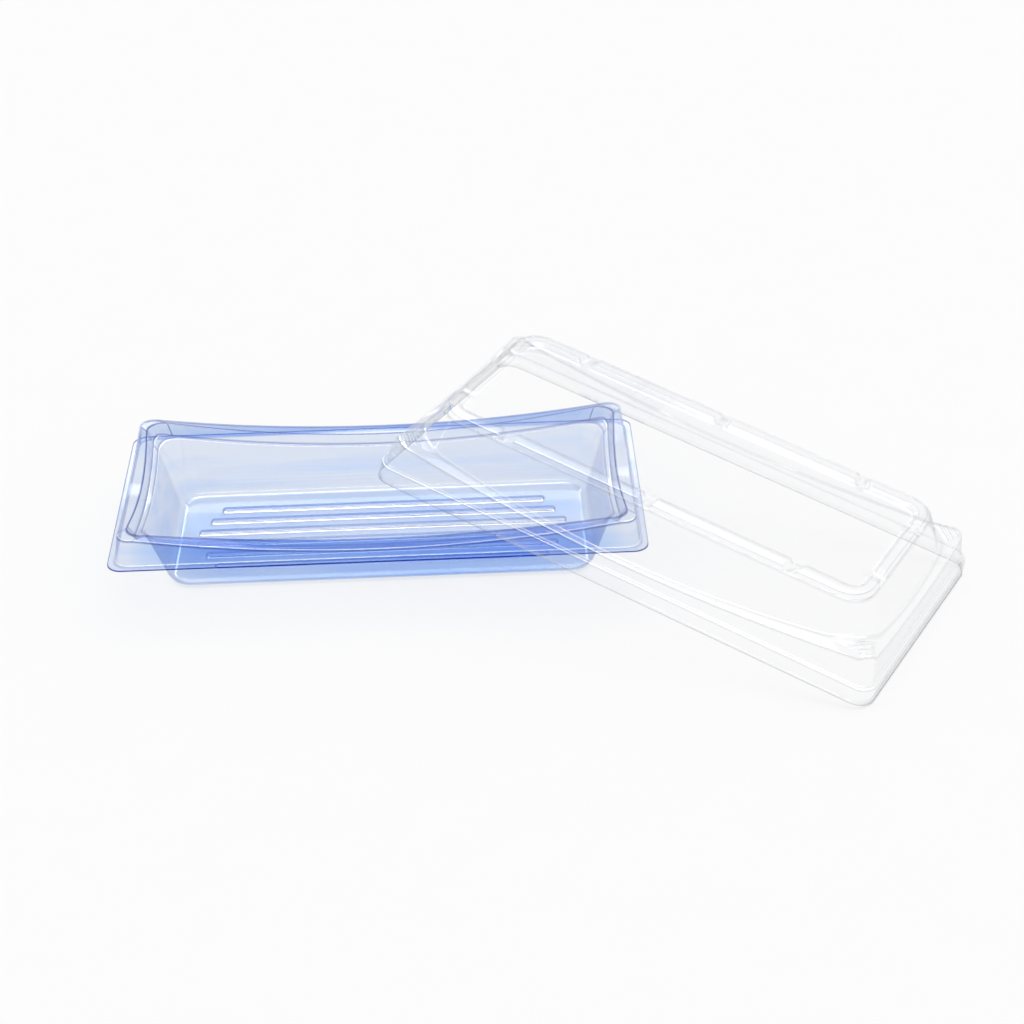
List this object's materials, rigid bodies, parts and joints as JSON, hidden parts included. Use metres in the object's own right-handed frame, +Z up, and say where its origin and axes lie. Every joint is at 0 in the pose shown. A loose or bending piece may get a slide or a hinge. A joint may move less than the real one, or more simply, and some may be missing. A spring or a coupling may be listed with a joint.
{
  "type": "sushi tray with lid",
  "caption": "Long food tray of clear blue sheet with a boat-curved rim and ribbed floor, and its clear domed lid with a notched bead, leaning on the tray.",
  "frame": {"origin": "centre of the tray's flat underside, at the height of the surface that the tray stands on", "axes": "+X along the tray towards the end that the lid leans over, +Y towards the tray's back side, +Z up"},
  "size_m": [0.3444, 0.1993, 0.073],
  "materials": {
    "blue_sheet": "clear blue tinted formed sheet, glossy",
    "clear_sheet": "clear formed sheet, glossy"
  },
  "bodies": {
    "root": {"tray": "blue_sheet", "lid": "clear_sheet"}
  },
  "joints": []
}
